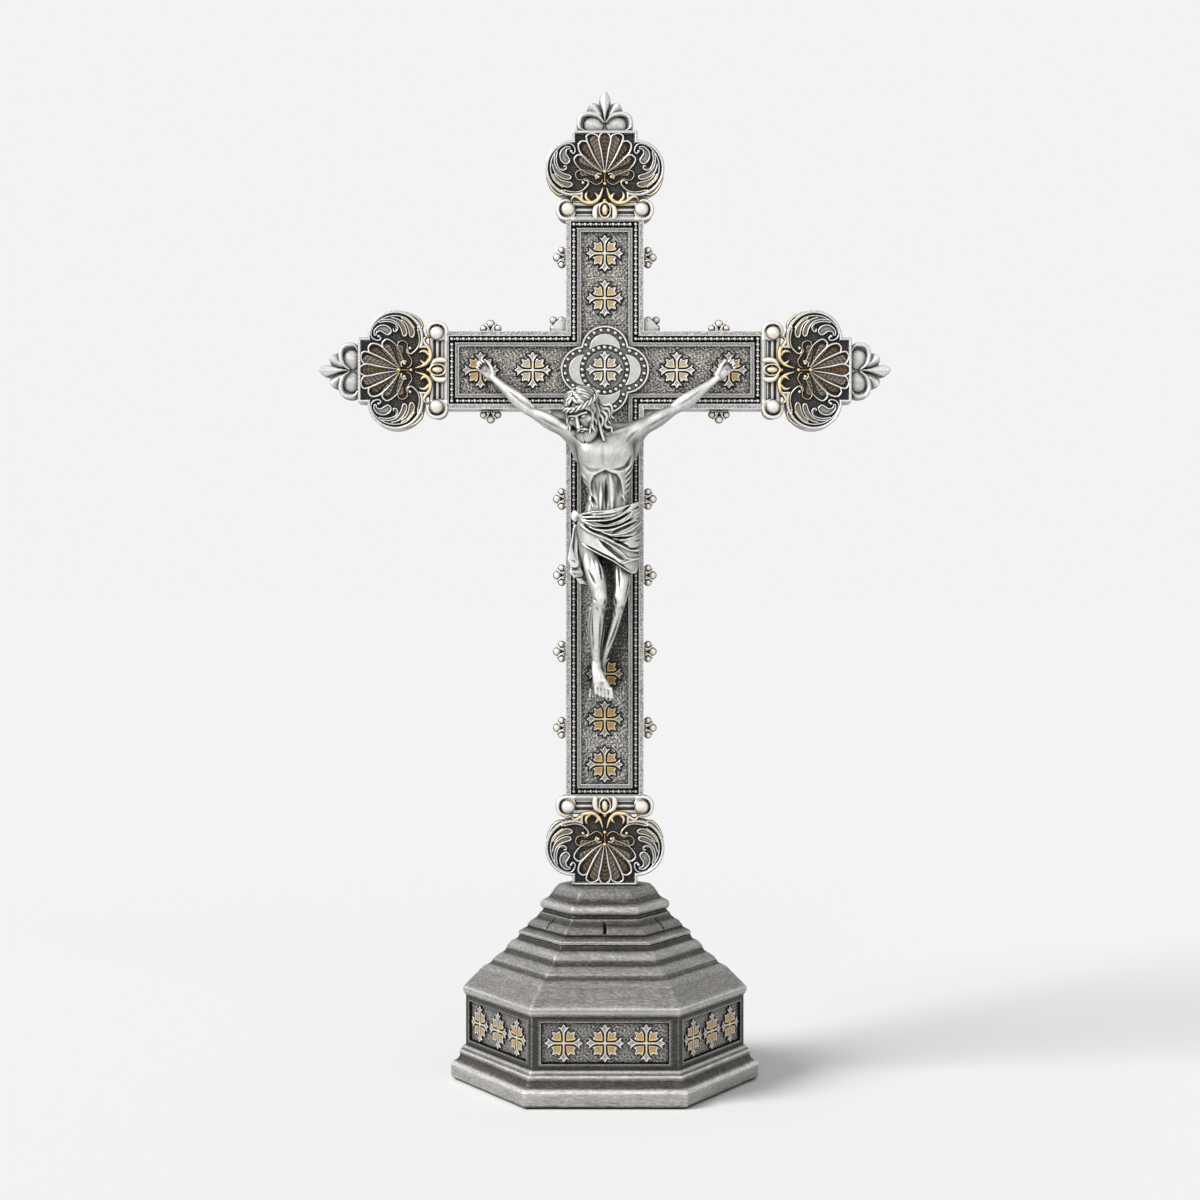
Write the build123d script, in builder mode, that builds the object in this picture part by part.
from build123d import *
import math
import os

os.makedirs("parts", exist_ok=True)

# A standing altar crucifix in oxidised silver with gilt ornament, in millimetres.
# The origin is the centre of the foot, +Z is up and the figure faces -Y.

# Fits shared by all pieces
fit_gap = 0.1
cut_overrun = 1.0

# Base: heights of the tiers from the floor up
felt_thickness = 0.8
skirting_height = 13.2
frieze_height = 20.7
roof_height = 24.2
collar_height = 10.5
cushion_height = 10.1

# Base: distance from the axis to the corners of the six-sided tiers
skirting_corner = 62.65
frieze_corner = 56.5
lip_corner = 57.8
roof_top_corner = 35.0
collar_corner = 35.2
collar_top_corner = 25.0
cushion_corner = 26.4
seat_corner = 18.6

# Base: inside
skirting_wall = 9.0
ledge_width = 5.5
ledge_height = 3.0
frieze_wall = 6.0
frieze_flange = 2.5
spigot_length = 2.4
spigot_wall = 4.0
collar_spigot_radius = 14.0
cushion_spigot_radius = 10.0
roof_cavity_height = 6.0
roof_vault_corner = 33.0
roof_vault_height = 8.0

# Base: frieze panels and collar slits
panel_width = 49.4
panel_height = 15.8
panel_recess = 1.6
panel_thickness = 0.8
panel_edge_width = 0.7
panel_edge_rise = 0.4
slit_width = 1.2
slit_height = 4.6
slit_floor_corner = 26.8

# Base: rod and its clamp
rod_radius = 3.0
rod_grip = 18.0
clamp_thickness = 2.5
washer_radius = 9.0
washer_thickness = 1.5
nut_radius = 5.8
nut_height = 4.5
rod_end_length = 1.0

# Cross: bars, from the crossing centre to the bar ends
bar_width = 31.5
bar_thickness = 14.0
upper_reach = 62.0
side_reach = 65.0
shaft_reach = 173.4
bar_wall = 2.5
front_wall = 2.0
rim_width = 2.0
channel_width = 2.5
channel_depth = 1.6
fillet_width = 1.7
fillet_height = 1.4
field_recess = 2.8
field_thickness = 1.0
cover_thickness = 1.2
cover_lip = 1.2

# Cross: pearls
pearl_radius = 0.95
pearl_pitch = 2.36
pearl_core_radius = 0.5

# Cross: medallion
lobe_radius = 9.45
lobe_offset = 8.3
medallion_thickness = 1.6
medallion_rim_width = 0.6
medallion_rim_rise = 0.8
lunette_radius = 6.2
lunette_thickness = 0.7
lobe_pearl_radius = 0.9
lobe_pearl_orbit = 7.8
lobe_pearl_step = 22.0
lobe_pearl_count = 8
ring_orbit = 9.1
ring_pearl_count = 24
boss_radius = 7.6
boss_thickness = 0.5

# Rosettes, on the cross and on the base
rosette_radius = 7.1
frieze_rosette_radius = 6.7
rosette_thickness = 1.2
frieze_rosette_pitch = 15.9
frieze_rosette_count = 3
inner_rosette_reach = 29.1
top_rosette_reach = 47.2
side_rosette_reach = 50.2
shaft_rosette_reach = 122.7
shaft_rosette_pitch = 18.3
shaft_rosette_count = 3

# Knops on the edges of the bars
knop_ball_radius = 1.8
knop_side_radius = 1.6
knop_rise = 3.6
knop_side_rise = 1.7
knop_spread = 2.9
knop_stem_radius = 0.8
knop_foot_width = 6.8
knop_foot_depth = 3.2
knop_foot_height = 0.9
knop_pin_radius = 0.8
knop_pin_length = 2.0
arm_knop_reach = 46.4
shaft_knop_reach = 51.8
shaft_knop_pitch = 31.0
shaft_knop_count = 4
corner_knop_reach = 5.1
corner_knop_side = 1.9
corner_block_radius = 6.0
corner_block_depth = 3.0

# Terminals: plate
terminal_length = 34.7
terminal_back = 5.5
terminal_floor = 6.0
terminal_rim_width = 1.1
terminal_rim_rise = 1.2
terminal_lobe_radius = 11.4
terminal_lobe_offset = 12.7
terminal_lobe_reach = 19.5
shoulder_half_width = 13.2
neck_half_width = 10.0
tenon_width = 12.0
tenon_thickness = 6.0
tenon_engagement = 10.0
screw_radius = 1.5
screw_inset = 5.0
screw_head_radius = 2.7
screw_head_height = 1.8
screw_grip = 6.0

# Terminals: scroll collar
scroll_bar_length = 6.0
scroll_back = 5.0
scroll_front = 6.6
groove_width = 1.0
groove_depth = 0.8
volute_radius = 3.9
volute_offset = 15.4
volute_reach = 2.7
volute_rim_width = 0.9
volute_rim_rise = 1.2
volute_ball_radius = 2.3

# Terminals: relief
palmette_root = 16.6
palmette_length = 16.8
petal_tip_radius = 2.1
petal_edge_width = 0.5
petal_edge_rise = 0.5
relief_thickness = 0.9
leaf_radius = 9.4
leaf_shift = 5.2
leaf_rib_width = 0.8
leaf_rib_rise = 0.7
leaf_rib_count = 3
bud_length = 7.0
bud_half_width = 2.4
bud_petal_lean = 28.0
bud_thickness = 1.6
tendril_radius = 3.4
tendril_width = 0.9
tendril_offset = 5.6
tendril_reach = 11.0

# Terminals: finial
finial_height = 16.0
finial_half_width = 11.3
finial_back = 4.0
finial_front = 6.0
finial_edge = 0.8
finial_tenon_width = 8.0
finial_tenon_thickness = 5.0
finial_tenon_length = 5.0

# Figure: half the span of the hands, drop from the crossing to the toes, rise of the knees
corpus_reach = 50.0
corpus_drop = 132.0
corpus_rise = 26.0
corpus_girth = 12.0
nail_radius = 0.6
nail_head_radius = 1.5
nail_head_height = 0.7
nail_depth = 3.0

# Counts and angles that belong to a regular hexagon
face_count = 6
flat_share = math.cos(math.pi / face_count)
face_turn = 360 / face_count
first_face_angle = face_turn / 2

# Levels worked out from the tiers
skirting_top = felt_thickness + skirting_height
frieze_top = skirting_top + frieze_height
roof_top = frieze_top + roof_height
collar_top = roof_top + collar_height
base_top = collar_top + cushion_height
crossing_level = base_top + terminal_length + shaft_reach
ledge_level = skirting_top - ledge_height

# Corners of the cavities in the base
skirting_cavity_corner = skirting_corner - skirting_wall
skirting_mouth_corner = skirting_cavity_corner - ledge_width
frieze_cavity_corner = frieze_corner - frieze_wall
frieze_spigot_corner = skirting_mouth_corner - fit_gap
roof_spigot_corner = frieze_cavity_corner - fit_gap

# Depths of the cross, measured from its middle plane towards the front
rim_front = bar_thickness / 2
channel_floor = rim_front - channel_depth
field_seat = rim_front - field_recess
field_front = field_seat + field_thickness
fillet_front = field_front + fillet_height
hollow_front = field_seat - front_wall
cover_front = cover_thickness - rim_front
medallion_front = field_front + medallion_thickness
boss_front = medallion_front + boss_thickness
relief_front = terminal_floor + relief_thickness
tenon_middle = (hollow_front + cover_front) / 2
field_inset = rim_width + channel_width
pearl_inset = rim_width + channel_width / 2

# Outlines of the tiers. Each step is a line to its one point or an arc through two points; a
# point is a share of the way out to the widest corner and a share of the tier's height.
skirting_shares = [
    [(0.86, 0)],
    [(0.96, 0.04), (1, 0.12)],
    [(1, 0.41)],
    [(0.93, 0.47), (0.78, 0.52)],
    [(0.55, 0.59), (0.42, 0.70)],
    [(0.41, 0.85)],
    [(0.29, 0.89), (0.24, 0.95)],
    [(0.15, 1)],
]
roof_shares = [
    [(0.965, 0)],
    [(1, 0.05)],
    [(1, 0.125)],
    [(0.70, 0.405)],
    [(0.623, 0.471), (0.526, 0.517)],
    [(0.487, 0.545), (0.456, 0.59)],
    [(0.377, 0.657), (0.281, 0.707)],
    [(0.232, 0.752), (0.215, 0.798)],
    [(0.167, 0.868), (0.07, 0.921)],
    [(0.018, 0.955), (0, 1)],
]
collar_shares = [
    [(0.92, 0)],
    [(1, 0.04)],
    [(1, 0.13)],
    [(0.94, 0.17)],
    [(0.65, 0.31)],
    [(0.64, 0.39)],
    [(0.52, 0.53), (0.38, 0.62)],
    [(0.23, 0.73), (0.147, 0.87)],
    [(0.06, 0.91)],
    [(0, 1)],
]
cushion_shares = [
    [(0.795, 0)],
    [(1, 0.22), (0.82, 0.386)],
    [(0.744, 0.416)],
    [(0.51, 0.515), (0.385, 0.653)],
    [(0.333, 0.713)],
    [(0.205, 0.85), (0, 1)],
]
slit_middle_share = 0.6

# Half outlines of the rosette, as shares of its radius across and along the arm or petal
crosslet_hub_share = 0.13
crosslet_arm_shares = [(0.05, 0), (0.05, 0.42), (0.13, 0.63), (0.31, 0.82), (0.12, 0.84), (0, 1)]
rosette_petal_shares = [(0, 0.2), (0.11, 0.29), (0.27, 0.52), (0.24, 0.70), (0.12, 0.66), (0, 0.9)]

# Petals of the palmette: lean from the axis, and length as a share of the middle one
palmette_petals = [(0, 1), (17, 0.97), (34, 0.90), (57, 0.77), (90, 0.62)]
petal_root_share = 0.3

# Finial leaves: place across and along, half width and half length, as shares of its half width
# and height, and lean
finial_leaves = [
    ((0, 0.56), (0.20, 0.44), 0),
    ((0.33, 0.50), (0.24, 0.27), 35),
    ((0.58, 0.23), (0.40, 0.24), 0),
    ((0, 0.22), (0.32, 0.24), 0),
]

# The figure: places across, down from the crossing and out from the middle plane, as shares of its
# reach, drop and rise, each with its half width and half depth as shares of its girth
left_arm_shares = [
    ((-0.08, 0.232, 0.66), (0.36, 0.34)),
    ((-0.22, 0.212, 0.63), (0.40, 0.36)),
    ((-0.34, 0.184, 0.59), (0.35, 0.33)),
    ((-0.48, 0.154, 0.55), (0.30, 0.29)),
    ((-0.62, 0.124, 0.50), (0.26, 0.26)),
    ((-0.75, 0.082, 0.46), (0.27, 0.25)),
    ((-0.90, 0.025, 0.40), (0.15, 0.14)),
    ((-0.96, 0.004, 0.365), (0.22, 0.11)),
    ((-0.985, -0.022, 0.38), (0.16, 0.10)),
]
right_arm_shares = [
    ((0.07, 0.226, 0.66), (0.36, 0.34)),
    ((0.20, 0.206, 0.63), (0.40, 0.36)),
    ((0.31, 0.180, 0.59), (0.35, 0.33)),
    ((0.45, 0.150, 0.55), (0.30, 0.29)),
    ((0.58, 0.118, 0.50), (0.26, 0.26)),
    ((0.72, 0.080, 0.46), (0.27, 0.25)),
    ((0.90, 0.030, 0.40), (0.15, 0.14)),
    ((0.985, -0.001, 0.365), (0.22, 0.11)),
    ((1.01, -0.026, 0.38), (0.16, 0.10)),
]
torso_shares = [
    ((-0.080, 0.150, 0.76), (0.32, 0.32)),
    ((-0.050, 0.172, 0.70), (0.36, 0.36)),
    ((-0.015, 0.196, 0.66), (0.66, 0.44)),
    ((-0.002, 0.232, 0.68), (0.94, 0.58)),
    ((0.010, 0.280, 0.69), (0.95, 0.62)),
    ((0.032, 0.340, 0.66), (0.80, 0.54)),
    ((0.044, 0.395, 0.64), (0.73, 0.50)),
    ((0.024, 0.430, 0.63), (0.98, 0.62)),
    ((0.015, 0.500, 0.63), (1.03, 0.66)),
    ((0.015, 0.570, 0.66), (0.97, 0.66)),
    ((0.012, 0.630, 0.70), (0.84, 0.60)),
]
head_shares = [
    ((-0.120, 0.078, 0.84), (0.20, 0.22)),
    ((-0.128, 0.098, 0.86), (0.52, 0.56)),
    ((-0.142, 0.128, 0.90), (0.62, 0.68)),
    ((-0.160, 0.165, 0.95), (0.56, 0.60)),
    ((-0.176, 0.200, 1.02), (0.38, 0.38)),
    ((-0.185, 0.224, 1.10), (0.16, 0.14)),
]
left_leg_shares = [
    ((-0.070, 0.560, 0.66), (0.44, 0.46)),
    ((-0.074, 0.620, 0.78), (0.42, 0.45)),
    ((-0.040, 0.700, 0.97), (0.33, 0.35)),
    ((-0.044, 0.780, 0.85), (0.34, 0.36)),
    ((-0.066, 0.890, 0.63), (0.20, 0.23)),
    ((-0.050, 0.935, 0.64), (0.23, 0.25)),
    ((0.008, 0.990, 0.70), (0.26, 0.15)),
]
right_leg_shares = [
    ((0.110, 0.560, 0.64), (0.44, 0.46)),
    ((0.125, 0.620, 0.74), (0.43, 0.45)),
    ((0.104, 0.700, 0.92), (0.33, 0.35)),
    ((0.070, 0.780, 0.74), (0.34, 0.36)),
    ((0.010, 0.890, 0.48), (0.21, 0.22)),
    ((-0.050, 0.940, 0.44), (0.24, 0.18)),
    ((-0.114, 0.998, 0.46), (0.24, 0.14)),
]
cloth_end_shares = [
    ((-0.170, 0.430, 0.66), (0.16, 0.26)),
    ((-0.215, 0.490, 0.66), (0.26, 0.34)),
    ((-0.230, 0.575, 0.64), (0.25, 0.33)),
    ((-0.222, 0.655, 0.62), (0.20, 0.26)),
]
crown_of_thorns_shares = ((-0.137, 0.117, 0.885), (0.64, 0.11))
foot_nail_shares = (-0.03, 0.955)
hand_nail_shares = [(-0.96, 0.004), (0.985, -0.001)]
nail_front_shares = [0.42, 0.42, 0.80]


def write_piece(piece, label):
    """Names a finished piece and writes it to its own file."""
    piece.part.label = label
    export_step(piece.part, os.path.join("parts", label + ".step"))


def front_plane(depth):
    """A plane facing the viewer, with its origin at the crossing of the bars."""
    return Plane(origin=(0, -depth, crossing_level), x_dir=(1, 0, 0), z_dir=(0, -1, 0))


def outward_plane(across, up, outward):
    """A plane facing the viewer, with its local y along a direction in the plane of the cross."""
    side, rise = outward
    return Plane(origin=(across, 0, crossing_level + up), x_dir=(rise, 0, -side), z_dir=(0, -1, 0))


# Where each terminal joins its bar, with y running outwards along the bar
terminal_planes = {
    "top": outward_plane(0, upper_reach, (0, 1)),
    "left": outward_plane(-side_reach, 0, (-1, 0)),
    "right": outward_plane(side_reach, 0, (1, 0)),
    "foot": outward_plane(0, -shaft_reach, (0, -1)),
}
finial_names = [name for name in terminal_planes if name != "foot"]

# Places of the nails: across, up from the crossing and how far out their heads seat
nail_places = [
    (share[0] * corpus_reach, -share[1] * corpus_drop, front * corpus_rise)
    for share, front in zip(hand_nail_shares + [foot_nail_shares], nail_front_shares)
]


def face_planes(corner, level, depth=0):
    """One plane on each flat of a six-sided tier, facing outwards, with y up."""
    planes = []
    for face in range(face_count):
        angle = math.radians(first_face_angle + face * face_turn)
        outward = Vector(math.cos(angle), math.sin(angle), 0)
        sideways = Vector(-math.sin(angle), math.cos(angle), 0)
        reach = corner * flat_share + depth
        planes.append(Plane(origin=outward * reach + Vector(0, 0, level), x_dir=sideways, z_dir=outward))
    return planes


def draw_tier(steps, inner, outer, bottom, height):
    """Draws the outline of a six-sided tier as seen along one pair of its flats."""

    def place(reach_share, height_share):
        corner = inner + reach_share * (outer - inner)
        return Vector(corner * flat_share, bottom + height_share * height)

    with BuildLine() as outline:
        at = place(*steps[0][0])
        Line((0, at.Y), at)
        for step in steps[1:]:
            stops = [place(*share) for share in step]
            if len(stops) == 1:
                Line(at, stops[0])
            else:
                ThreePointArc(at, *stops)
            at = stops[-1]
        Line(at, (0, at.Y))
        mirror(about=Plane.YZ)
    make_face(outline.edges())


def add_tier(steps, inner, outer, bottom, height):
    """Adds a moulded tier: three bars of its outline, crossed, share six mitred faces."""
    for turn in range(face_count // 2):
        angle = math.radians(first_face_angle + turn * face_turn)
        across = (math.cos(angle), math.sin(angle), 0)
        along = (math.sin(angle), -math.cos(angle), 0)
        with BuildSketch(Plane(origin=(0, 0, 0), x_dir=across, z_dir=along)) as profile:
            draw_tier(steps, inner, outer, bottom, height)
        crossing = Mode.INTERSECT if turn else Mode.ADD
        extrude(profile.sketch, amount=2 * outer, both=True, mode=crossing)


def add_hexagon(corner, bottom, top, mode=Mode.ADD):
    """Adds or cuts a plain six-sided block."""
    with BuildSketch(Plane.XY.offset(bottom)) as profile:
        RegularPolygon(corner, face_count)
    extrude(profile.sketch, amount=top - bottom, mode=mode)


def add_disc(radius, bottom, top, mode=Mode.ADD):
    """Adds or cuts a round block on the axis of the base."""
    with BuildSketch(Plane.XY.offset(bottom)) as profile:
        Circle(radius)
    extrude(profile.sketch, amount=top - bottom, mode=mode)


def cut_rod_bore(bottom, top):
    """Cuts the bore for the tie rod."""
    add_disc(rod_radius + fit_gap, bottom - cut_overrun, top + cut_overrun, Mode.SUBTRACT)


def draw_cross(inset):
    """Draws the outline of the four bars, set in from their edges."""
    height = upper_reach + shaft_reach - 2 * inset
    with Locations((0, (upper_reach - shaft_reach) / 2)):
        Rectangle(bar_width - 2 * inset, height)
    Rectangle(2 * (side_reach - inset), bar_width - 2 * inset)


def cut_nail_holes(back):
    """Cuts the holes for the three nails, from a depth out to the front."""
    for across, up, front in nail_places:
        with BuildSketch(front_plane(back)) as hole:
            with Locations((across, up)):
                Circle(nail_radius + fit_gap)
        extrude(hole.sketch, amount=front - back, mode=Mode.SUBTRACT)


# Felt ring
with BuildPart() as felt_ring:
    add_hexagon(skirting_corner - panel_recess, 0, felt_thickness)
    add_hexagon(skirting_cavity_corner, 0, felt_thickness, Mode.SUBTRACT)
write_piece(felt_ring, "felt_ring")

# Skirting: moulded outside, with a ledge inside that the clamp plate pulls up against
with BuildPart() as skirting:
    add_tier(skirting_shares, frieze_corner, skirting_corner, felt_thickness, skirting_height)
    add_hexagon(skirting_cavity_corner, felt_thickness, ledge_level, Mode.SUBTRACT)
    add_hexagon(skirting_mouth_corner, ledge_level, skirting_top, Mode.SUBTRACT)
write_piece(skirting, "skirting")

# Frieze body: a wall with a sunk panel in each face and a flange that drops into the skirting
panel_level = skirting_top + frieze_height / 2
with BuildPart() as frieze_body:
    add_hexagon(frieze_corner, skirting_top, frieze_top)
    add_hexagon(frieze_spigot_corner, skirting_top - spigot_length, skirting_top)
    with BuildSketch(*face_planes(frieze_corner, panel_level)):
        Rectangle(panel_width + 2 * panel_edge_width, panel_height + 2 * panel_edge_width)
    extrude(amount=panel_edge_rise)
    with BuildSketch(*face_planes(frieze_corner, panel_level, panel_edge_rise)):
        Rectangle(panel_width, panel_height)
    extrude(amount=-panel_recess - panel_edge_rise, mode=Mode.SUBTRACT)
    flange_corner = frieze_spigot_corner - spigot_wall
    add_hexagon(flange_corner, skirting_top - spigot_length, frieze_top, Mode.SUBTRACT)
    add_hexagon(frieze_cavity_corner, skirting_top + frieze_flange, frieze_top, Mode.SUBTRACT)
write_piece(frieze_body, "frieze_body")

with BuildPart() as frieze_panels:
    with BuildSketch(*face_planes(frieze_corner, panel_level, -panel_recess)):
        Rectangle(panel_width - 2 * fit_gap, panel_height - 2 * fit_gap)
    extrude(amount=panel_thickness)
write_piece(frieze_panels, "frieze_panels")

# Bell roof: drops into the frieze and is hollow below
with BuildPart() as bell_roof:
    add_tier(roof_shares, roof_top_corner, lip_corner, frieze_top, roof_height)
    spigot_bottom = frieze_top - spigot_length
    add_hexagon(roof_spigot_corner, spigot_bottom, frieze_top)
    cavity_top = frieze_top + roof_cavity_height
    add_hexagon(roof_spigot_corner - spigot_wall, spigot_bottom, cavity_top, Mode.SUBTRACT)
    add_hexagon(roof_vault_corner, cavity_top, cavity_top + roof_vault_height, Mode.SUBTRACT)
    seat_radius = collar_spigot_radius + fit_gap
    add_disc(seat_radius, roof_top - spigot_length - fit_gap, roof_top, Mode.SUBTRACT)
    cut_rod_bore(frieze_top, roof_top)
write_piece(bell_roof, "bell_roof")

# Stepped collar: a slit stands in the middle of each face
with BuildPart() as stepped_collar:
    add_tier(collar_shares, collar_top_corner, collar_corner, roof_top, collar_height)
    slit_level = roof_top + slit_middle_share * collar_height
    with BuildSketch(*face_planes(slit_floor_corner, slit_level)):
        Rectangle(slit_width, slit_height)
    extrude(amount=collar_corner - slit_floor_corner, mode=Mode.SUBTRACT)
    add_disc(collar_spigot_radius, roof_top - spigot_length, roof_top)
    seat_radius = cushion_spigot_radius + fit_gap
    add_disc(seat_radius, collar_top - spigot_length - fit_gap, collar_top, Mode.SUBTRACT)
    cut_rod_bore(roof_top - spigot_length, collar_top)
write_piece(stepped_collar, "stepped_collar")

with BuildPart() as top_cushion:
    add_tier(cushion_shares, seat_corner, cushion_corner, collar_top, cushion_height)
    add_disc(cushion_spigot_radius, collar_top - spigot_length, collar_top)
    cut_rod_bore(collar_top - spigot_length, base_top)
write_piece(top_cushion, "top_cushion")

# Tie rod and the parts that clamp it under the base
clamp_bottom = ledge_level - clamp_thickness
washer_bottom = clamp_bottom - washer_thickness
nut_bottom = washer_bottom - nut_height
with BuildPart() as tie_rod:
    add_disc(rod_radius, nut_bottom - rod_end_length, base_top + rod_grip)
write_piece(tie_rod, "tie_rod")

with BuildPart() as clamp_plate:
    add_hexagon(skirting_cavity_corner - fit_gap, clamp_bottom, ledge_level)
    cut_rod_bore(clamp_bottom, ledge_level)
write_piece(clamp_plate, "clamp_plate")

with BuildPart() as rod_washer:
    add_disc(washer_radius, washer_bottom, clamp_bottom)
    cut_rod_bore(washer_bottom, clamp_bottom)
write_piece(rod_washer, "rod_washer")

with BuildPart() as rod_nut:
    add_hexagon(nut_radius, nut_bottom, washer_bottom)
    cut_rod_bore(nut_bottom, washer_bottom)
write_piece(rod_nut, "rod_nut")

# Places of the knops: across, up from the crossing, and the way each points
bar_edge = bar_width / 2
shaft_knop_drops = [shaft_knop_reach + row * shaft_knop_pitch for row in range(shaft_knop_count)]
knop_planes = {
    "top_arm": [outward_plane(side * bar_edge, arm_knop_reach, (side, 0)) for side in (-1, 1)],
    "left_arm": [outward_plane(-arm_knop_reach, side * bar_edge, (0, side)) for side in (-1, 1)],
    "right_arm": [outward_plane(arm_knop_reach, side * bar_edge, (0, side)) for side in (-1, 1)],
    "shaft": [
        outward_plane(side * bar_edge, -drop, (side, 0)) for drop in shaft_knop_drops for side in (-1, 1)
    ],
}


def cut_bar_end(plane):
    """Cuts the slot for a terminal's tenon and the two notches that its volutes sit in."""
    with BuildSketch(plane.offset(tenon_middle - tenon_thickness / 2 - fit_gap)) as slot:
        Rectangle(tenon_width + 2 * fit_gap, 2 * bar_wall)
    extrude(slot.sketch, amount=tenon_thickness + 2 * fit_gap, mode=Mode.SUBTRACT)
    with BuildSketch(plane.offset(-rim_front)) as notches:
        with Locations((-volute_offset, volute_reach), (volute_offset, volute_reach)):
            Circle(volute_radius + fit_gap)
    extrude(notches.sketch, amount=bar_thickness, mode=Mode.SUBTRACT)


def cut_knop_hole(plane):
    """Drills the hole for a knop's pin into the edge of a bar."""
    with BuildSketch(Plane(origin=plane.origin, x_dir=plane.x_dir, z_dir=-plane.y_dir)) as hole:
        Circle(knop_pin_radius + fit_gap)
    extrude(hole.sketch, amount=knop_pin_length + fit_gap, mode=Mode.SUBTRACT)


# Cross body: a tray with a rim, a channel for the pearls and a seat for the field plate
with BuildPart() as cross_body:
    with BuildSketch(front_plane(-rim_front)):
        draw_cross(0)
    extrude(amount=bar_thickness)
    with BuildSketch(front_plane(channel_floor)):
        draw_cross(rim_width)
    extrude(amount=channel_depth, mode=Mode.SUBTRACT)
    with BuildSketch(front_plane(field_seat)):
        draw_cross(field_inset)
    extrude(amount=field_recess, mode=Mode.SUBTRACT)
    with BuildSketch(front_plane(-rim_front)):
        draw_cross(cover_lip)
    extrude(amount=cover_thickness, mode=Mode.SUBTRACT)
    with BuildSketch(front_plane(cover_front)):
        draw_cross(bar_wall)
    extrude(amount=hollow_front - cover_front, mode=Mode.SUBTRACT)
    for plane in terminal_planes.values():
        cut_bar_end(plane)
    for planes in knop_planes.values():
        for plane in planes:
            cut_knop_hole(plane)
    cut_nail_holes(hollow_front)
write_piece(cross_body, "cross_body")

screw_places = [plane.from_local_coords((0, -bar_wall - screw_inset, 0)) for plane in terminal_planes.values()]


def draw_screws(radius, mode=Mode.ADD):
    """Draws one circle at each terminal screw, on a plane that faces the viewer."""
    with Locations(*[(place.X, place.Z - crossing_level) for place in screw_places]):
        Circle(radius, mode=mode)


with BuildPart() as back_cover:
    with BuildSketch(front_plane(-rim_front)):
        draw_cross(cover_lip + fit_gap)
        for plane in terminal_planes.values():
            ends = [plane.from_local_coords((side * volute_offset, volute_reach, 0)) for side in (-1, 1)]
            with Locations(*[(end.X, end.Z - crossing_level) for end in ends]):
                Circle(volute_radius + fit_gap, mode=Mode.SUBTRACT)
        draw_screws(screw_radius + fit_gap, Mode.SUBTRACT)
    extrude(amount=cover_thickness)
write_piece(back_cover, "back_cover")

with BuildPart() as terminal_screws:
    with BuildSketch(front_plane(-rim_front - screw_head_height)):
        draw_screws(screw_head_radius)
    extrude(amount=screw_head_height)
    with BuildSketch(front_plane(-rim_front)):
        draw_screws(screw_radius)
    extrude(amount=screw_grip)
write_piece(terminal_screws, "terminal_screws")

with BuildPart() as field_plate:
    with BuildSketch(front_plane(field_seat)):
        draw_cross(field_inset + fit_gap)
    extrude(amount=field_thickness)
    cut_nail_holes(field_seat)
write_piece(field_plate, "field_plate")

with BuildPart() as inner_fillet:
    with BuildSketch(front_plane(field_front)):
        draw_cross(field_inset + fit_gap)
    extrude(amount=fillet_height)
    with BuildSketch(front_plane(field_front)):
        draw_cross(field_inset + fillet_width)
    extrude(amount=fillet_height, mode=Mode.SUBTRACT)
write_piece(inner_fillet, "inner_fillet")


def add_pearl_run(start, end):
    """Adds a pearled wire from one corner of the channel up to the pearl before the next corner."""
    origin = Vector(start[0], -channel_floor - pearl_radius, crossing_level + start[1])
    run = Vector(end[0] - start[0], 0, end[1] - start[1])
    count = round(run.length / pearl_pitch)
    pitch = run.length / count
    wire_length = (count - 1) * pitch
    along = run.normalized()
    with BuildSketch(Plane(origin=origin, x_dir=along, z_dir=along.cross(Vector(0, -1, 0)))) as wire:
        with Locations((wire_length / 2, 0)):
            Rectangle(wire_length, 2 * pearl_core_radius)
        with Locations(*[(pearl * pitch, 0) for pearl in range(count)]):
            Circle(pearl_radius)
        with Locations((wire_length / 2, pearl_radius)):
            Rectangle(wire_length + 2 * pearl_pitch, 2 * pearl_radius, mode=Mode.INTERSECT)
    revolve(wire.sketch, axis=Axis(origin, along))


# Pearl borders: the corners of the channel's middle line, arm by arm round the cross
pearl_side = bar_edge - pearl_inset
pearl_top = upper_reach - pearl_inset
pearl_arm = side_reach - pearl_inset
pearl_foot = pearl_inset - shaft_reach
pearl_corners = {
    "top_arm": [(-pearl_side, pearl_side), (-pearl_side, pearl_top), (pearl_side, pearl_top)],
    "right_arm": [(pearl_side, pearl_side), (pearl_arm, pearl_side), (pearl_arm, -pearl_side)],
    "shaft": [(pearl_side, -pearl_side), (pearl_side, pearl_foot), (-pearl_side, pearl_foot)],
    "left_arm": [(-pearl_side, -pearl_side), (-pearl_arm, -pearl_side), (-pearl_arm, pearl_side)],
}
pearl_order = list(pearl_corners)
for arm, corners in pearl_corners.items():
    following = pearl_order[(pearl_order.index(arm) + 1) % len(pearl_order)]
    stops = corners + [pearl_corners[following][0]]
    with BuildPart() as pearl_border:
        for start, end in zip(stops, stops[1:]):
            add_pearl_run(start, end)
    write_piece(pearl_border, "pearl_border_" + arm)


def draw_quatrefoil(inset):
    """Draws four overlapping lobes round the crossing."""
    with PolarLocations(lobe_offset, 4):
        Circle(lobe_radius - inset)


with BuildPart() as medallion_plate:
    with BuildSketch(front_plane(field_front)):
        draw_quatrefoil(0)
    extrude(amount=medallion_thickness)
write_piece(medallion_plate, "medallion_plate")

with BuildPart() as medallion_rim:
    with BuildSketch(front_plane(medallion_front)):
        draw_quatrefoil(0)
    extrude(amount=medallion_rim_rise)
    with BuildSketch(front_plane(medallion_front)):
        draw_quatrefoil(medallion_rim_width)
    extrude(amount=medallion_rim_rise, mode=Mode.SUBTRACT)
write_piece(medallion_rim, "medallion_rim")

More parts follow.
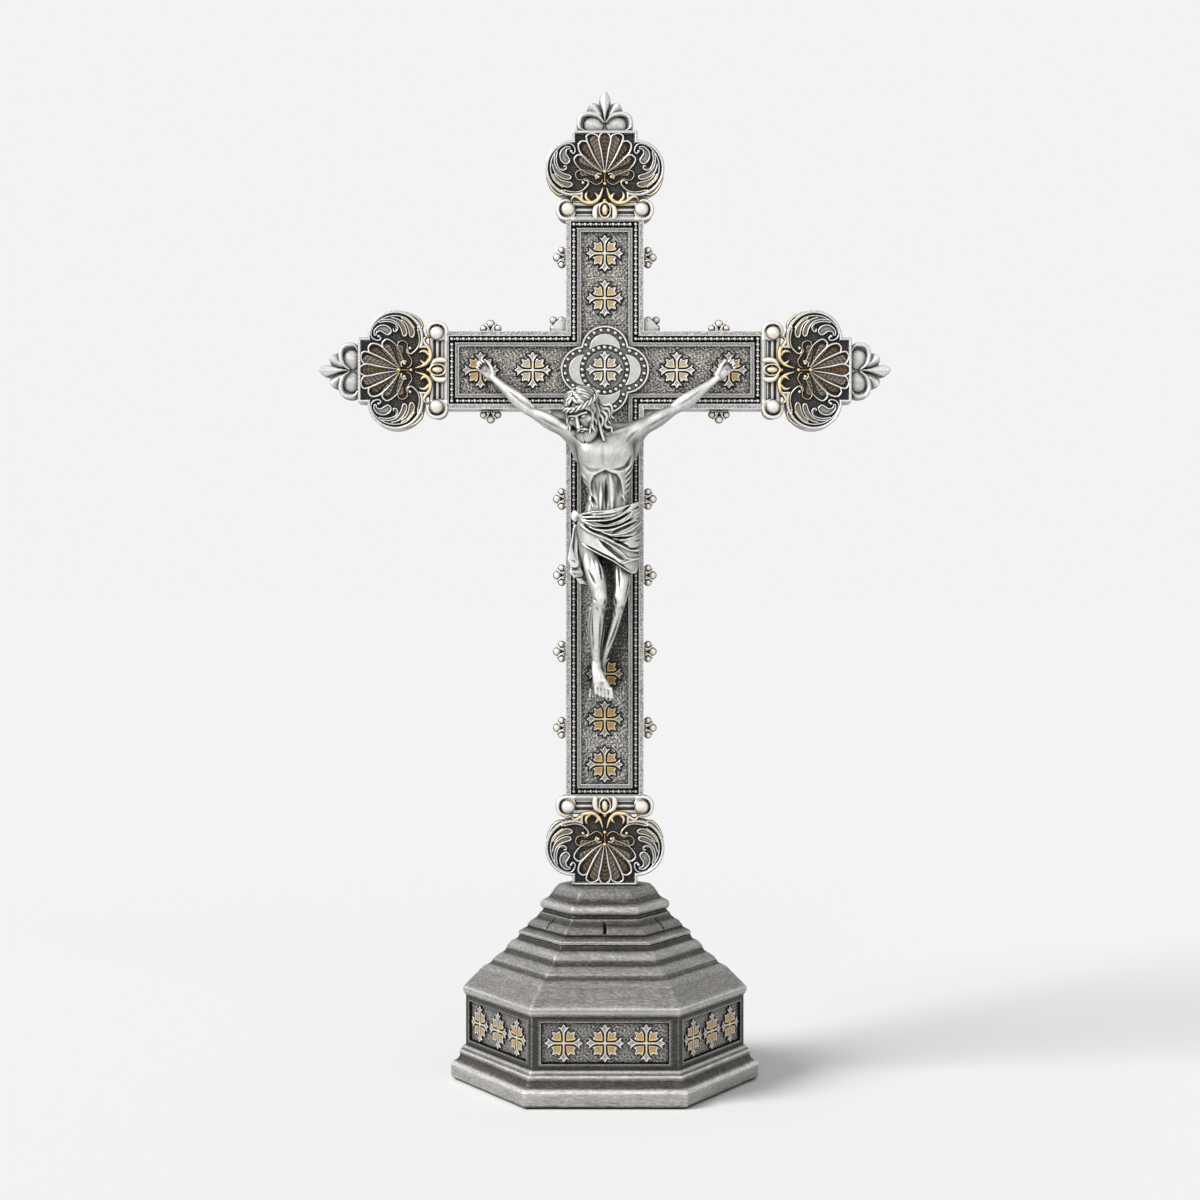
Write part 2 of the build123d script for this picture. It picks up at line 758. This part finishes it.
with BuildPart() as medallion_lunettes:
    with BuildSketch(front_plane(medallion_front)):
        with PolarLocations(lobe_offset, 4):
            Circle(lunette_radius)
        Circle(ring_orbit + pearl_radius + fit_gap, mode=Mode.SUBTRACT)
    extrude(amount=lunette_thickness)
write_piece(medallion_lunettes, "medallion_lunettes")

on_floor = (Align.CENTER, Align.CENTER, Align.MIN)
with BuildPart(front_plane(medallion_front)) as medallion_pearls:
    with PolarLocations(ring_orbit, ring_pearl_count):
        Sphere(pearl_radius, arc_size1=0, align=on_floor)
    for quarter in range(4):
        outward = quarter * 90
        first = outward - lobe_pearl_step * (lobe_pearl_count - 1) / 2
        centre = Vector(lobe_offset, 0).rotate(Axis.Z, outward)
        with Locations(centre):
            with PolarLocations(lobe_pearl_orbit, lobe_pearl_count, first, lobe_pearl_step * lobe_pearl_count):
                Sphere(lobe_pearl_radius, arc_size1=0, align=on_floor)
write_piece(medallion_pearls, "medallion_pearls")

with BuildPart() as medallion_boss:
    with BuildSketch(front_plane(medallion_front)):
        Circle(boss_radius)
    extrude(amount=boss_thickness)
write_piece(medallion_boss, "medallion_boss")


def mirrored_points(shares, size):
    """Closes a half outline with its mirror image, scaled to a size."""
    half = [(across * size, along * size) for across, along in shares]
    return half + [(-across, along) for across, along in reversed(half) if across]


def draw_crosslet(radius):
    """Draws a flower cross: four thin arms that flare to three points."""
    Circle(crosslet_hub_share * radius)
    with PolarLocations(0, 4):
        Polygon(*mirrored_points(crosslet_arm_shares, radius), align=None)


def draw_petals(radius):
    """Draws the four petals that stand between the arms of a flower cross."""
    with PolarLocations(0, 4, 45):
        Polygon(*mirrored_points(rosette_petal_shares, radius), align=None)


shaft_drops = [shaft_rosette_reach + row * shaft_rosette_pitch for row in range(shaft_rosette_count)]
cross_rosettes = (
    [(0, inner_rosette_reach), (0, top_rosette_reach)]
    + [(side * reach, 0) for side in (-1, 1) for reach in (inner_rosette_reach, side_rosette_reach)]
    + [(0, -drop) for drop in shaft_drops]
)
frieze_steps = [
    (step - (frieze_rosette_count - 1) / 2) * frieze_rosette_pitch for step in range(frieze_rosette_count)
]
frieze_rosette_planes = face_planes(frieze_corner, panel_level, panel_thickness - panel_recess)

for draw, name in ((draw_crosslet, "crosslets"), (draw_petals, "petals")):
    with BuildPart() as cross_rosette_parts:
        for across, up in cross_rosettes:
            with BuildSketch(front_plane(field_front)):
                with Locations((across, up)):
                    draw(rosette_radius)
            extrude(amount=rosette_thickness)
        with BuildSketch(front_plane(boss_front)):
            draw(rosette_radius)
        extrude(amount=rosette_thickness)
        cut_nail_holes(field_front)
    write_piece(cross_rosette_parts, "cross_" + name)
    with BuildPart() as frieze_rosette_parts:
        for step in frieze_steps:
            with BuildSketch(*frieze_rosette_planes):
                with Locations((step, 0)):
                    draw(frieze_rosette_radius)
            extrude(amount=rosette_thickness)
    write_piece(frieze_rosette_parts, "frieze_" + name)


def add_knop(plane):
    """Adds a trefoil knop: three balls on a foot and stem, with a pin for the bar."""
    upright = Plane(origin=plane.origin, x_dir=plane.x_dir, z_dir=plane.y_dir)
    with BuildSketch(upright) as foot:
        Rectangle(knop_foot_width, knop_foot_depth)
    extrude(foot.sketch, amount=knop_foot_height)
    with BuildSketch(upright) as stem:
        Circle(knop_stem_radius)
    extrude(stem.sketch, amount=knop_rise)
    with BuildSketch(upright) as pin:
        Circle(knop_pin_radius)
    extrude(pin.sketch, amount=-knop_pin_length)
    with Locations(plane):
        with Locations((-knop_spread, knop_side_rise, 0), (knop_spread, knop_side_rise, 0)):
            Sphere(knop_side_radius)
        with Locations((0, knop_rise, 0)):
            Sphere(knop_ball_radius)


for arm, planes in knop_planes.items():
    with BuildPart() as arm_knops:
        for plane in planes:
            add_knop(plane)
    write_piece(arm_knops, "knops_" + arm)

# Corner knops: three balls on a quarter-round block in each inner corner of the cross
with BuildPart() as corner_knops:
    for side in (-1, 1):
        for rise in (-1, 1):
            corner = (side * bar_edge, rise * bar_edge)
            with BuildSketch(front_plane(-corner_block_depth / 2)):
                with Locations(corner):
                    Circle(corner_block_radius)
                quadrant = (corner[0] + side * corner_block_radius / 2, corner[1] + rise * corner_block_radius / 2)
                with Locations(quadrant):
                    Rectangle(corner_block_radius, corner_block_radius, mode=Mode.INTERSECT)
            extrude(amount=corner_block_depth)
            balls = [
                (corner_knop_reach, corner_knop_reach),
                (corner_knop_side, corner_knop_reach),
                (corner_knop_reach, corner_knop_side),
            ]
            with Locations(front_plane(0)):
                with Locations(*[(corner[0] + side * x, corner[1] + rise * y, 0) for x, y in balls]):
                    Sphere(knop_side_radius)
write_piece(corner_knops, "knops_corner")


def draw_terminal(inset):
    """Draws the lobed outline of a terminal, set in from its edge."""
    with Locations((-terminal_lobe_offset, terminal_lobe_reach), (terminal_lobe_offset, terminal_lobe_reach)):
        Circle(terminal_lobe_radius - inset)
    shoulder_length = terminal_length - terminal_lobe_reach
    with Locations((0, terminal_lobe_reach + shoulder_length / 2 - inset)):
        Rectangle(2 * (shoulder_half_width - inset), shoulder_length)
    neck_length = terminal_lobe_reach - scroll_bar_length
    with Locations((0, scroll_bar_length + neck_length / 2 + inset)):
        Rectangle(2 * (neck_half_width - inset), neck_length)


def make_terminal_plate(plane, name):
    """A lobed plate with a raised rim, and a tenon that passes the collar into the bar."""
    tenon_length = scroll_bar_length + bar_wall + tenon_engagement
    with BuildPart() as terminal_plate:
        with BuildSketch(plane.offset(-terminal_back)):
            draw_terminal(0)
        extrude(amount=terminal_back + terminal_floor + terminal_rim_rise)
        with BuildSketch(plane.offset(terminal_floor)):
            draw_terminal(terminal_rim_width)
        extrude(amount=terminal_rim_rise, mode=Mode.SUBTRACT)
        with BuildSketch(plane.offset(tenon_middle - tenon_thickness / 2)):
            with Locations((0, scroll_bar_length - tenon_length / 2)):
                Rectangle(tenon_width, tenon_length)
        extrude(amount=tenon_thickness)
        with BuildSketch(plane.offset(-rim_front)):
            with Locations((0, -bar_wall - screw_inset)):
                Circle(screw_radius + fit_gap)
        extrude(amount=screw_grip + fit_gap, mode=Mode.SUBTRACT)
        end = plane.from_local_coords((0, terminal_length, 0))
        inward = Plane(origin=end, x_dir=plane.x_dir, z_dir=-plane.y_dir)
        with BuildSketch(inward):
            if name in finial_names:
                Rectangle(finial_tenon_width + 2 * fit_gap, finial_tenon_thickness + 2 * fit_gap)
            else:
                Circle(rod_radius + fit_gap)
        depth = finial_tenon_length if name in finial_names else rod_grip
        extrude(amount=depth + fit_gap, mode=Mode.SUBTRACT)
    write_piece(terminal_plate, "terminal_plate_" + name)


def make_scroll_collar(plane, name):
    """A grooved bar that ends in two volutes, pierced for the terminal's tenon."""
    scroll_thickness = scroll_back + scroll_front
    volute_places = [(-volute_offset, volute_reach), (volute_offset, volute_reach)]
    with BuildPart() as scroll_collar:
        with BuildSketch(plane.offset(-scroll_back)):
            with Locations((0, scroll_bar_length / 2)):
                Rectangle(2 * volute_offset, scroll_bar_length)
            with Locations(*volute_places):
                Circle(volute_radius)
        extrude(amount=scroll_thickness)
        with BuildSketch(plane.offset(scroll_front)):
            with Locations((0, scroll_bar_length / 3), (0, 2 * scroll_bar_length / 3)):
                Rectangle(2 * (volute_offset - volute_radius), groove_width)
        extrude(amount=-groove_depth, mode=Mode.SUBTRACT)
        with BuildSketch(plane.offset(scroll_front)):
            with Locations(*volute_places):
                Circle(volute_radius)
                Circle(volute_radius - volute_rim_width, mode=Mode.SUBTRACT)
        extrude(amount=volute_rim_rise)
        with Locations(plane.offset(scroll_front)):
            with Locations(*[(across, along, 0) for across, along in volute_places]):
                Sphere(volute_ball_radius)
        with BuildSketch(plane.offset(tenon_middle - tenon_thickness / 2 - fit_gap)):
            with Locations((0, scroll_bar_length / 2)):
                Rectangle(tenon_width + 2 * fit_gap, scroll_bar_length)
        extrude(amount=tenon_thickness + 2 * fit_gap, mode=Mode.SUBTRACT)
    write_piece(scroll_collar, "scroll_collar_" + name)


def draw_petal(lean, length, tip_radius):
    """Draws a petal from the palmette's root: a wedge that ends in a round tip."""
    with Locations(Location((0, palmette_root, 0), (0, 0, -lean))):
        root = petal_root_share * tip_radius
        shoulder = length - tip_radius
        Polygon((-root, 0), (root, 0), (tip_radius, shoulder), (-tip_radius, shoulder), align=None)
        with Locations((0, shoulder)):
            Circle(tip_radius)


def make_palmette(plane, name):
    """A fan of petals, each with a raised edge."""
    leans = [(lean * side, share) for lean, share in palmette_petals for side in (1, -1) if lean or side > 0]
    with BuildPart() as palmette:
        with BuildSketch(plane.offset(terminal_floor)):
            for lean, share in leans:
                draw_petal(lean, share * palmette_length, petal_tip_radius)
        extrude(amount=relief_thickness + petal_edge_rise)
        for lean, share in leans:
            with BuildSketch(plane.offset(relief_front)):
                inner_length = share * palmette_length - petal_edge_width
                draw_petal(lean, inner_length, petal_tip_radius - petal_edge_width)
            extrude(amount=petal_edge_rise, mode=Mode.SUBTRACT)
    write_piece(palmette, "palmette_" + name)


def make_acanthus(plane, name):
    """A ribbed crescent leaf in each side lobe."""
    with BuildPart() as acanthus:
        for side in (-1, 1):
            middle = (side * terminal_lobe_offset, terminal_lobe_reach)
            hollow = (side * (terminal_lobe_offset - leaf_shift), terminal_lobe_reach)
            with BuildSketch(plane.offset(terminal_floor)):
                with Locations(middle):
                    Circle(leaf_radius)
                with Locations(hollow):
                    Circle(leaf_radius, mode=Mode.SUBTRACT)
            extrude(amount=relief_thickness)
            for rib in range(leaf_rib_count):
                shift = side * rib * leaf_shift / leaf_rib_count
                with BuildSketch(plane.offset(relief_front)):
                    with Locations((middle[0] - shift, middle[1])):
                        Circle(leaf_radius)
                        Circle(leaf_radius - leaf_rib_width, mode=Mode.SUBTRACT)
                    with Locations(middle):
                        Circle(leaf_radius, mode=Mode.INTERSECT)
                    with Locations(hollow):
                        Circle(leaf_radius, mode=Mode.SUBTRACT)
                extrude(amount=leaf_rib_rise)
    write_piece(acanthus, "acanthus_" + name)


def make_lotus(plane, name):
    """A three-petalled bud on the collar, and two tendrils that curl on the plate."""
    with BuildPart() as lotus:
        with BuildSketch(plane.offset(scroll_front)):
            for lean in (-bud_petal_lean, 0, bud_petal_lean):
                with Locations(Location((0, 0, 0), (0, 0, lean))):
                    with Locations((0, bud_length / 2)):
                        Ellipse(bud_half_width / 2, bud_length / 2)
            with Locations((0, scroll_bar_length / 2)):
                Rectangle(4 * bud_half_width, scroll_bar_length, mode=Mode.INTERSECT)
        extrude(amount=bud_thickness)
        for side in (-1, 1):
            with BuildSketch(plane.offset(terminal_floor)):
                with Locations((side * tendril_offset, tendril_reach)):
                    Circle(tendril_radius)
                    Circle(tendril_radius - tendril_width, mode=Mode.SUBTRACT)
                with Locations((side * tendril_offset, tendril_reach + tendril_radius)):
                    Rectangle(2 * tendril_radius, 2 * tendril_radius, mode=Mode.SUBTRACT)
            extrude(amount=relief_thickness)
    write_piece(lotus, "lotus_" + name)


def draw_finial(inset):
    """Draws the leaves of a finial, each set in from its edge."""
    for place, size, lean in finial_leaves:
        for side in (-1, 1) if place[0] else (1,):
            across = side * place[0] * finial_half_width
            along = terminal_length + place[1] * finial_height
            with Locations(Location((across, along, 0), (0, 0, -side * lean))):
                Ellipse(size[0] * finial_half_width - inset, size[1] * finial_height - inset)
    with Locations((0, terminal_length + finial_height / 2)):
        Rectangle(2 * finial_half_width, finial_height, mode=Mode.INTERSECT)


def make_finial(plane, name):
    """A fleur of rounded leaves, raised within its edge, with a tenon for the plate."""
    with BuildPart() as finial:
        with BuildSketch(plane.offset(-finial_back)):
            draw_finial(0)
        extrude(amount=finial_back + finial_front - finial_edge)
        with BuildSketch(plane.offset(finial_front - finial_edge)):
            draw_finial(finial_edge)
        extrude(amount=finial_edge)
        with BuildSketch(plane.offset(-finial_tenon_thickness / 2)):
            with Locations((0, terminal_length - finial_tenon_length / 2)):
                Rectangle(finial_tenon_width, finial_tenon_length)
        extrude(amount=finial_tenon_thickness)
    write_piece(finial, "finial_" + name)


for name, plane in terminal_planes.items():
    make_terminal_plate(plane, name)
    make_scroll_collar(plane, name)
    make_palmette(plane, name)
    make_acanthus(plane, name)
    make_lotus(plane, name)
    if name in finial_names:
        make_finial(plane, name)


def figure_point(shares):
    """A place in the figure, from its shares across, down and out."""
    across, down, out = shares
    return Vector(across * corpus_reach, -out * corpus_rise, crossing_level - down * corpus_drop)


def add_limb(stations):
    """Adds a rounded limb that swells and thins through its stations."""
    points = [figure_point(place) for place, size in stations]
    sections = []
    for index, (place, size) in enumerate(stations):
        before = points[max(index - 1, 0)]
        after = points[min(index + 1, len(points) - 1)]
        along = (after - before).normalized()
        sideways = along.cross(Vector(0, -1, 0)).normalized()
        backwards = along.cross(sideways)
        with BuildSketch(Plane(origin=points[index], x_dir=backwards, z_dir=along)) as section:
            Ellipse(size[1] * corpus_girth, size[0] * corpus_girth)
        sections.append(section.sketch.face())
    loft(sections)


# Corpus: one casting of body, cloth and crown, pierced for the nails and flat under their heads
with BuildPart() as corpus:
    for stations in (torso_shares, head_shares, cloth_end_shares):
        add_limb(stations)
    for stations in (left_arm_shares, right_arm_shares, left_leg_shares, right_leg_shares):
        add_limb(stations)
    crown_place, crown_size = crown_of_thorns_shares
    crown_axis = figure_point(head_shares[0][0]) - figure_point(head_shares[-1][0])
    with Locations(Plane(origin=figure_point(crown_place), z_dir=crown_axis)):
        Torus(crown_size[0] * corpus_girth, crown_size[1] * corpus_girth)
    cut_nail_holes(fillet_front)
    for across, up, front in nail_places:
        with BuildSketch(front_plane(front)):
            with Locations((across, up)):
                Circle(nail_head_radius + fit_gap)
        extrude(amount=corpus_rise - front, mode=Mode.SUBTRACT)
write_piece(corpus, "corpus")

with BuildPart() as nails:
    for across, up, front in nail_places:
        with BuildSketch(front_plane(nail_depth)):
            with Locations((across, up)):
                Circle(nail_radius)
        extrude(amount=front - nail_depth)
        with BuildSketch(front_plane(front)):
            with Locations((across, up)):
                Circle(nail_head_radius)
        extrude(amount=nail_head_height)
write_piece(nails, "nails")
